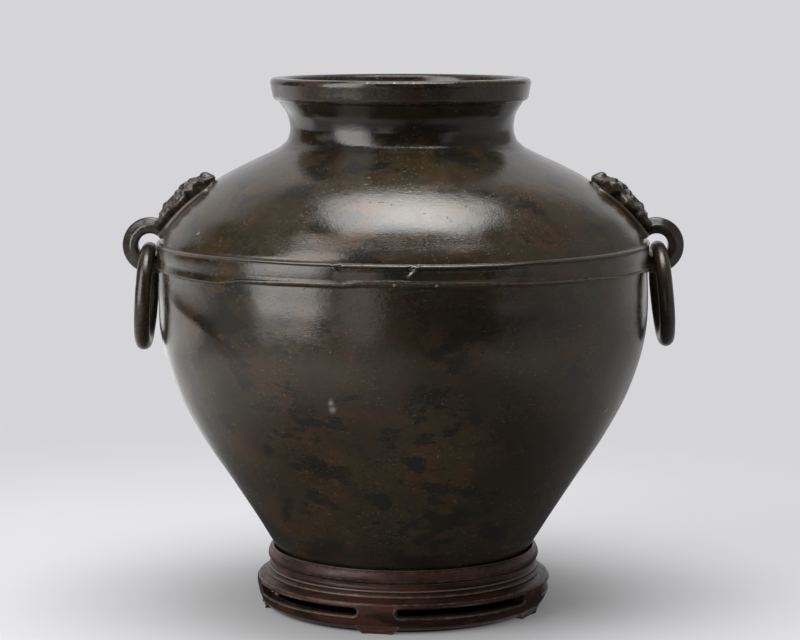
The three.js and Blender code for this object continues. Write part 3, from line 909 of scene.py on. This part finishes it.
def makeMask(values, side):
    turns, edge = maskOutline(values, values["outline"])
    share = np.linspace(0, 1, values["rows"] + 1)[1:] ** 0.85
    rounding = values["rounding"] * np.clip((share - 0.93) / 0.07, 0, 1) ** 2
    radius = share[:, None] * edge
    u, v = radius * np.cos(turns), radius * np.sin(turns) + values["middle"]
    top = reliefHeight(u, v, values) - rounding[:, None]
    grain = unevenness(np.stack([u, v, 0 * u], axis=-1), 3.0, values["seeds"][side])
    top = top + values["grain"] * grain.reshape(top.shape)
    for _ in range(values["softened"]):  # every point moves towards its four neighbours
        aside = np.roll(top, 1, 1) + np.roll(top, -1, 1)
        inOut = np.vstack([top[1:], top[-1:]]) + np.vstack([top[:1], top[:-1]])
        top = 0.4 * top + 0.15 * (aside + inOut)
    back = values["back"] + 0 * edge
    under = [(reach, top[-1] + fall) for reach, fall in values["wall"]] + [(0.9, back), (0.5, back)]
    rows = [(u, v, top)]
    for reach, high in under:
        rows.append((u[-1:] * reach, (v[-1:] - values["middle"]) * reach + values["middle"], high[None]))
    u, v, height = [np.vstack(part) for part in zip(*rows)]
    centre = len(u) * values["columns"]
    points = np.vstack([
        maskPoint(u, v, height, side, values),
        maskPoint(np.zeros(2), values["middle"], np.array([top[0].mean(), values["back"]]), side, values)])
    faces = gridFaces(len(u), values["columns"], closeColumns=True)
    last = centre - values["columns"]
    for j in range(values["columns"]):
        k = (j + 1) % values["columns"]
        faces.append((centre, k, j))
        faces.append((centre + 1, last + j, last + k))
    makePiece("mask" + side.capitalize(), points, faces, "maskBronze", "vase", ["mask_" + side], 0.9)


def makeMaskPlate(values, side):
    turns, edge = maskOutline(values, values["plateOutline"])
    line = evenLine(softCorners(values["plateSection"], 0.4), 0.35)
    radius = edge + line[:, 0:1]
    u, v = radius * np.cos(turns), radius * np.sin(turns) + values["middle"]
    points = maskPoint(u, v, line[:, 1:2] + 0 * u, side, values)
    faces = gridFaces(len(line), values["columns"], True, True)
    makePiece("maskPlate" + side.capitalize(), points, faces, "maskBronze", "vase",
              ["mask_plate_" + side], 0.9)


for side in ("right", "left"):
    makeMask(mask, side)
    makeMaskPlate(mask, side)
print("masks made")


# The stand's turned rings

turnedRings = {
    "sides": 288,
    "uneven": 0.1,
    "rim": [(93.4, 33.4), (93.7, 33.9), (95.1, 34.3), (95.9, 35.3), (96.1, 36.8), (95.8, 38.8), (95.2, 40.4),
            (94.5, 41.5), (93.8, 41.8), (93.5, 42.5), (92.5, 42.7), (91.9, 42.3), (91.5, 41.4), (88.9, 33.1)],
    "waist": [(97.2, 24.3), (97.3, 25.0), (96.7, 25.9), (95.6, 26.6), (95.0, 27.0), (95.1, 27.5),
              (95.8, 28.1), (95.7, 28.8), (94.8, 29.3), (93.9, 30.0), (93.3, 31.2), (93.3, 32.6),
              (93.6, 33.0), (88.4, 33.0), (88.4, 24.3)],
}


def makeTurned(name, line, values, stands):
    degrees = np.arange(values["sides"]) * 360 / values["sides"]
    points = aroundZ(line[:, 0:1] + 0 * degrees, degrees, line[:, 1:2]).reshape(-1, 3)
    wander = values["uneven"] * (1 + unevenness(points, 21, 4))[:, None]
    points = points - wander * np.array([1, 1, 0]) * points / 100
    faces = gridFaces(len(line), len(degrees), True, True)
    makePiece(name, points, faces, "waxedHardwood", "stand", stands, 1.1)


makeTurned("standRim", closedLine(turnedRings["rim"], 0.5, 0.45), turnedRings, ["stand_rim"])
makeTurned("standWaist", closedLine(turnedRings["waist"], 0.4, 0.45), turnedRings, ["stand_waist"])


# The pierced drum: each fifth is a sheet of cells drawn round its slot, out to the sheet's own edge

drum = {
    "legs": 5,
    "firstLeg": -10.3,  # degrees
    "slotFrom": 9.2,  # degrees from a leg's middle to the middle of a slot's round end
    "slotMiddle": 15.2,
    "slotHalf": 2.9,
    "rings": 16,  # cells from the slot out to the sheet's edge, along the slot and round its end
    "topPoints": 66,
    "endPoints": 14,
    "low": 2.7,
    "high": 20.2,
    "radius": 103.3,
    "face": [(98.8, 2.7), (101.0, 6), (102.4, 9.5), (103.0, 12.3), (103.3, 16), (103.3, 20.2)],
    "inner": 96.3,
    "innerHigh": 20.4,
    "shoulder": [(103.3, 20.2), (102.9, 21.2), (101.4, 22.0), (98.4, 22.9), (96.9, 23.5), (96.2, 24.0)],
    "topInner": 78.0,
    "topHigh": 24.0,
    "bead": 0.62,  # how proud the carved line round each slot is
    "beadAt": 1.25,
    "beadHalf": 0.75,
    "slotEdge": 0.35,  # how far the slot's own edge is rounded back
}


def slotDistance(degrees, height, values):
    step = 360 / values["legs"]
    half = math.radians(step / 2 - values["slotFrom"]) * values["radius"]
    along = np.radians(degrees - step / 2) * values["radius"]
    away = np.maximum(np.abs(along) - half, 0)
    return np.hypot(away, height - values["slotMiddle"]) - values["slotHalf"]


def slotSheet(values, low, high):
    step = 360 / values["legs"]
    half = values["slotHalf"]
    halfAngle = math.degrees(half / values["radius"])
    left, right = values["slotFrom"], step - values["slotFrom"]
    t = np.linspace(0, 1, values["topPoints"], endpoint=False)
    e = np.linspace(0, 1, values["endPoints"], endpoint=False)
    turn = math.pi * e
    # both rounds start at the upper left and run over the top, down the right, and back underneath
    slotAngle = [left + (right - left) * t, right + halfAngle * np.sin(turn),
                 right + (left - right) * t, left - halfAngle * np.sin(turn)]
    slotHeight = [half + 0 * t, half * np.cos(turn), -half + 0 * t, -half * np.cos(turn)]
    edgeAngle = [step * t, step + 0 * e, step - step * t, 0 * e]
    edgeHeight = [high + 0 * t, high + (low - high) * e, low + 0 * t, low + (high - low) * e]
    inner = np.column_stack([np.concatenate(slotAngle), np.concatenate(slotHeight) + values["slotMiddle"]])
    outer = np.column_stack([np.concatenate(edgeAngle), np.concatenate(edgeHeight)])
    w = (np.arange(values["rings"] + 1) / values["rings"]) ** 1.5
    return inner[None] + (outer - inner)[None] * w[:, None, None]


def makeDrum(values):
    step = 360 / values["legs"]
    face = smoothLine(values["face"], 0.6)
    front = slotSheet(values, values["low"], values["high"])
    back = slotSheet(values, values["low"], values["innerHigh"])
    away = slotDistance(front[..., 0], front[..., 1], values)
    room = np.clip((values["high"] - front[..., 1]) / 0.5, 0, 1)
    bead = values["bead"] * nearTo(away, values["beadAt"], values["beadHalf"], 4) * room
    radius = np.interp(front[..., 1], face[:, 1], face[:, 0]) + bead
    radius = radius - values["slotEdge"] * nearTo(away, 0, 0.4)
    topLine = np.vstack([
        smoothLine(values["shoulder"], 0.5), (values["topInner"], values["topHigh"]),
        (values["topInner"], values["innerHigh"]), (values["inner"], values["innerHigh"])])
    under = np.array([(values["face"][0][0], values["low"]), (values["inner"], values["low"])])
    points, faces = [], []

    def addGrid(grid, closeColumns):
        first = sum(len(p) for p in points)
        points.append(grid.reshape(-1, 3))
        cells = gridFaces(grid.shape[0], grid.shape[1], False, closeColumns)
        faces.extend(tuple(first + k for k in cell) for cell in cells)

    for k in range(values["legs"]):
        start = values["firstLeg"] + k * step
        frontGrid = aroundZ(radius, front[..., 0] + start, front[..., 1])
        backGrid = aroundZ(values["inner"] + 0 * back[..., 0], back[..., 0] + start, back[..., 1])
        # the slot's wall from front to back, with close rows where its edges are rounded
        wall = [frontGrid[0] * (1 - s) + backGrid[0] * s for s in (0, 0.06, 0.35, 0.65, 0.94, 1)]
        for grid in (frontGrid, backGrid, np.array(wall)):
            addGrid(grid, True)
        degrees = np.concatenate([front[-1, :values["topPoints"], 0], [step]]) + start
        for line in (topLine, under):
            addGrid(aroundZ(line[:, 0:1] + 0 * degrees, degrees, line[:, 1:2]), False)
    stands = ["stand_apron"] + [f"stand_rail_{i + 1}" for i in range(values["legs"])]
    makePiece("standDrum", np.vstack(points), faces, "waxedHardwood", "stand", stands, 1.1)


# The feet: the drum's face runs on down to a carved line, under which each foot is set back

foot = {
    "high": 5.6,
    "halfHigh": 15.6,
    "halfLow": 10.2,
    "middleLine": 2.3,
    "back": 91.5,
    "proud": 1.1,  # how far the carved line stands out
    "setBack": 0.9,
    "rounded": 0.8,  # how far both sides are rounded back
    "radius": 99.0,
    "steps": (8, 15, 41),  # from front to back, up and across
}


def makeFoot(values, drum, number):
    middle = drum["firstLeg"] + (number - 1) * 360 / drum["legs"]
    face = smoothLine(drum["face"], 0.6)
    deepSteps, upSteps, acrossSteps = values["steps"]
    s = np.linspace(-1, 1, acrossSteps)
    rows = np.linspace(0, 1, upSteps)[:, None]
    height = values["high"] * rows + 0 * s
    half = values["halfLow"] + (values["halfHigh"] - values["halfLow"]) * rows ** 0.7
    line = values["middleLine"] + (values["high"] - 0.5 - values["middleLine"]) * s ** 2
    drumFace = np.interp(height, face[:, 1], face[:, 0])
    lineFace = np.interp(line, face[:, 1], face[:, 0]) + values["proud"]
    above = drumFace + values["proud"] * (1 - np.clip((height - line) / 2.4, 0, 1)) ** 2
    below = lineFace - values["setBack"] * np.clip((line - height) / 2.5, 0, 1) ** 0.7
    radius = np.where(height > line, above, below)
    radius = radius - values["rounded"] * np.clip((np.abs(s) - 0.94) / 0.06, 0, 1) ** 2
    degrees = middle + np.degrees(half * s / values["radius"])
    front = aroundZ(radius, degrees, height)
    back = aroundZ(values["back"] + 0 * radius, degrees, height)
    depth = np.linspace(0, 1, deepSteps)[:, None, None, None]
    points = (front[None] * (1 - depth) + back[None] * depth).reshape(-1, 3)
    index = np.arange(len(points)).reshape(values["steps"])
    faces = []
    for sheet in (index[0], index[-1], index[:, 0], index[:, -1], index[:, :, 0], index[:, :, -1]):
        for i in range(sheet.shape[0] - 1):
            for j in range(sheet.shape[1] - 1):
                faces.append((sheet[i, j], sheet[i, j + 1], sheet[i + 1, j + 1], sheet[i + 1, j]))
    used = np.unique(np.array(faces))
    fresh = {old: new for new, old in enumerate(used)}
    faces = [tuple(fresh[k] for k in face) for face in faces]
    makePiece(f"standFoot{number}", points[used], faces, "waxedHardwood", "stand",
              [f"stand_leg_{number}"], 1.0)


makeDrum(drum)
for number in range(1, drum["legs"] + 1):
    makeFoot(foot, drum, number)
print("stand made")


# The CAD nodes that stay as they are

keptNodes = {"stand_seat": "bareHardwood", "base_plate": "vaseBronze"}
for side in ("right", "left"):
    keptNodes["loop_washer_" + side] = "vaseBronze"
    keptNodes["mask_rivet_" + side + "_front"] = "vaseBronze"
    keptNodes["mask_rivet_" + side + "_back"] = "vaseBronze"
for name, material in keptNodes.items():
    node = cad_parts[name]
    node.data.materials.clear()
    node.data.materials.append(materials[material])


# Studio: pale paper, two soft lamps, and the white and black cards that the bronze mirrors

studio = {
    "paper": (0.665, 0.665, 0.68),
    "paperEdges": ((-1.6, -0.95), (1.6, 1.6)),  # metres
    "plainFrom": 0.42,  # metres from the vase's axis, where the paper's shading starts to give way
    "plainTo": 0.85,
    "fill": 0.20,
    "plainLeast": 0.16,  # the plain colour's share close to the stand, as the room's light lifts the shadow
    "standShadeReach": (0.09, 0.0965),  # metres from the axis, where the painted shade under the stand ends
    "standShadeColor": (0.03, 0.02, 0.015),
    "lamps": {  # place, what it points at, size in metres, watts
        "overhead": ((0.045, -0.1, 2.1), (0.045, -0.1, 0), (1.7, 1.5), 45),
        "left": ((-1.23, -0.77, 0.95), (0, 0, 0.95), (1.15, 1.8), 20),
    },
    # cards seen in reflections only: place and target of the middle, size, soft edge in metres, glow
    "cards": {
        "above": ((0.07, -0.09, 2.0), (0.07, -0.09, 0), (1.6, 1.28), 0.18, 5.8),
        "aboveMiddle": ((0.09, -0.09, 1.98), (0.09, -0.09, 0), (1.25, 1.05), 0.52, 10.8),
        "leftTall": ((-0.80, -0.64, 0.92), (0, 0, 0.92), (0.70, 1.74), 0.08, 5.0),
        "leftNext": ((-0.32, -0.98, 0.17), (0, 0, 0.17), (0.32, 0.28), 0.04, 1.2),
        # the floor cards lie just over the paper and paint the floor as the bronze mirrors it: brighter to
        # the left, with painted shade near the stand and to the front right; the edge cards are black past
        # the paper's front edge
        "floorAll": ((0.0, 0.15, 0.002), (0.0, 0.15, 1), (3.6, 2.1), 0.05, 0.38),
        "floorLeft": ((-1.35, 0.97, 0.003), (-1.35, 0.97, 1), (2.4, 1.7), 0.24, 1.28),
        "floorLeftNear": ((-0.44, 0.0, 0.0035), (-0.44, 0.0, 1), (0.78, 1.3), 0.22, 0.82),
        "floorMiddle": ((0.16, -0.45, 0.004), (0.16, -0.45, 1), (0.4, 0.8), 0.12, 0.12),
        "floorNear": ((0.0, 0.0, 0.005), (0.0, 0.0, 1), (0.96, 0.96), 0.36, 0.05),
        "edgeLeft": ((-1.2, -1.95, 0.006), (-1.2, -1.95, 1), (2.6, 2.2), 0.05, 0.0),
        "edgeRight": ((1.3, -1.82, 0.006), (1.3, -1.82, 1), (2.6, 2.2), 0.05, 0.0),
        "rightWall": ((1.6, -0.1, 0.35), (0, -0.1, 0.35), (2.2, 0.8), 0.2, 0.4),
        "darkFront": ((0.35, -1.9, 0.75), (0.35, 0, 0.75), (3.0, 3.4), 0.25, 0.0),
        "darkRoof": ((0.0, -0.4, 2.5), (0.0, -0.4, 0), (7.0, 5.0), 1.0, 0.15),
        "darkRight": ((2.4, -0.6, 1.5), (0, -0.6, 1.5), (3.2, 2.0), 0.4, 0.25),
        "darkLeft": ((-2.4, 0.2, 1.9), (0, 0.2, 1.9), (2.4, 1.6), 0.3, 0.1),
        "darkLowLeft": ((-2.3, -0.02, 0.42), (0, -0.02, 0.42), (1.5, 0.84), 0.16, 0.0),
        "darkBackLeft": ((-1.97, 0.75, 1.05), (0, 0, 1.05), (1.25, 2.1), 0.14, 0.0),
        "darkBackRight": ((1.75, 1.25, 1.8), (0, 0, 1.8), (1.5, 3.0), 0.15, 0.25),
    },
}


def plainRays(tree):
    rays = addNode(tree, "LightPath").outputs
    some = mathOf(tree, "MAXIMUM", rays["Is Camera Ray"], rays["Is Glossy Ray"])
    return mathOf(tree, "MAXIMUM", some, rays["Is Transmission Ray"])


def emptyTree(owner):
    owner.use_nodes = True
    owner.node_tree.nodes.clear()
    return owner.node_tree


def mixShaders(tree, share, a, b, output):
    mixed = addNode(tree, "MixShader", {0: share, 1: a.outputs[0], 2: b.outputs[0]})
    addNode(tree, output, {"Surface": mixed.outputs[0]})


def addSheet(name, low, high, material):
    (x0, y0), (x1, y1) = low, high
    mesh = bpy.data.meshes.new(name)
    mesh.from_pydata([(x0, y0, 0), (x1, y0, 0), (x1, y1, 0), (x0, y1, 0)], [], [(0, 1, 2, 3)])
    mesh.materials.append(material)
    made = addObject(name, mesh)
    return made


# Close to the stand the paper is lit by the lamps and takes the shadow; further off it shows its plain
# colour. Right under the stand its colour is a painted shade.

def makePaper(values):
    material = bpy.data.materials.new("paper")
    tree = emptyTree(material)
    place = addNode(tree, "TexCoord").outputs["Object"]
    flat = addNode(tree, "VectorMath", {0: place, 1: (1, 1, 0)}, operation="MULTIPLY").outputs[0]
    away = addNode(tree, "VectorMath", {0: flat}, operation="LENGTH").outputs["Value"]
    far = fade(tree, away, values["plainFrom"], values["plainTo"], values["plainLeast"])
    # right under the stand the paper's colour is a painted shade
    outside = fade(tree, away, *values["standShadeReach"])
    share = times(tree, times(tree, far, outside), plainRays(tree))
    shade = layerColors(tree, values["standShadeColor"], [(outside, 1, values["paper"])])
    lit = addNode(tree, "BsdfDiffuse", {"Color": shade})
    plain = addNode(tree, "Emission", {"Color": asColor(values["paper"]), "Strength": 1.0})
    mixShaders(tree, share, lit, plain, "OutputMaterial")
    addSheet("paperSheet", *values["paperEdges"], material)


def makeWorld(values):
    world = bpy.data.worlds.new("studioAir")
    tree = emptyTree(world)
    air = addNode(tree, "Background", {"Color": (1, 1, 1, 1), "Strength": values["fill"]})
    plain = addNode(tree, "Background", {"Color": asColor(values["paper"]), "Strength": 1.0})
    mixShaders(tree, plainRays(tree), air, plain, "OutputWorld")
    bpy.context.scene.world = world


def aim(made, place, target):
    made.location = place
    made.rotation_euler = (Vector(target) - Vector(place)).to_track_quat("-Z", "Y").to_euler()


def makeCard(name, place, target, size, soft, glow):
    material = bpy.data.materials.new(name)
    tree = emptyTree(material)
    across = addNode(tree, "SeparateXYZ", {0: addNode(tree, "TexCoord").outputs["Generated"]}).outputs
    inside = []
    for i in (0, 1):
        fromEdge = mathOf(tree, "PINGPONG", across[i], 0.5)
        inside.append(fade(tree, fromEdge, 0, soft / size[i]))
    clear = addNode(tree, "BsdfTransparent")
    shine = addNode(tree, "Emission", {"Color": (1, 1, 1, 1), "Strength": glow})
    mixShaders(tree, times(tree, *inside), clear, shine, "OutputMaterial")
    x, y = size[0] / 2, size[1] / 2
    made = addSheet(name, (-x, -y), (x, y), material)
    aim(made, place, target)
    made.visible_camera = False
    made.visible_diffuse = False
    made.visible_transmission = False
    made.visible_shadow = False


def makeLamp(name, place, target, size, power):
    lamp = bpy.data.lights.new(name, "AREA")
    lamp.shape = "RECTANGLE"
    lamp.size, lamp.size_y = size
    lamp.energy = power
    made = addObject(name, lamp)
    aim(made, place, target)
    made.visible_camera = False
    made.visible_glossy = False  # the cards stand for it in reflections


makePaper(studio)
makeWorld(studio)
for name, values in studio["lamps"].items():
    makeLamp(name, *values)
for name, values in studio["cards"].items():
    makeCard(name, *values)
print("studio made")
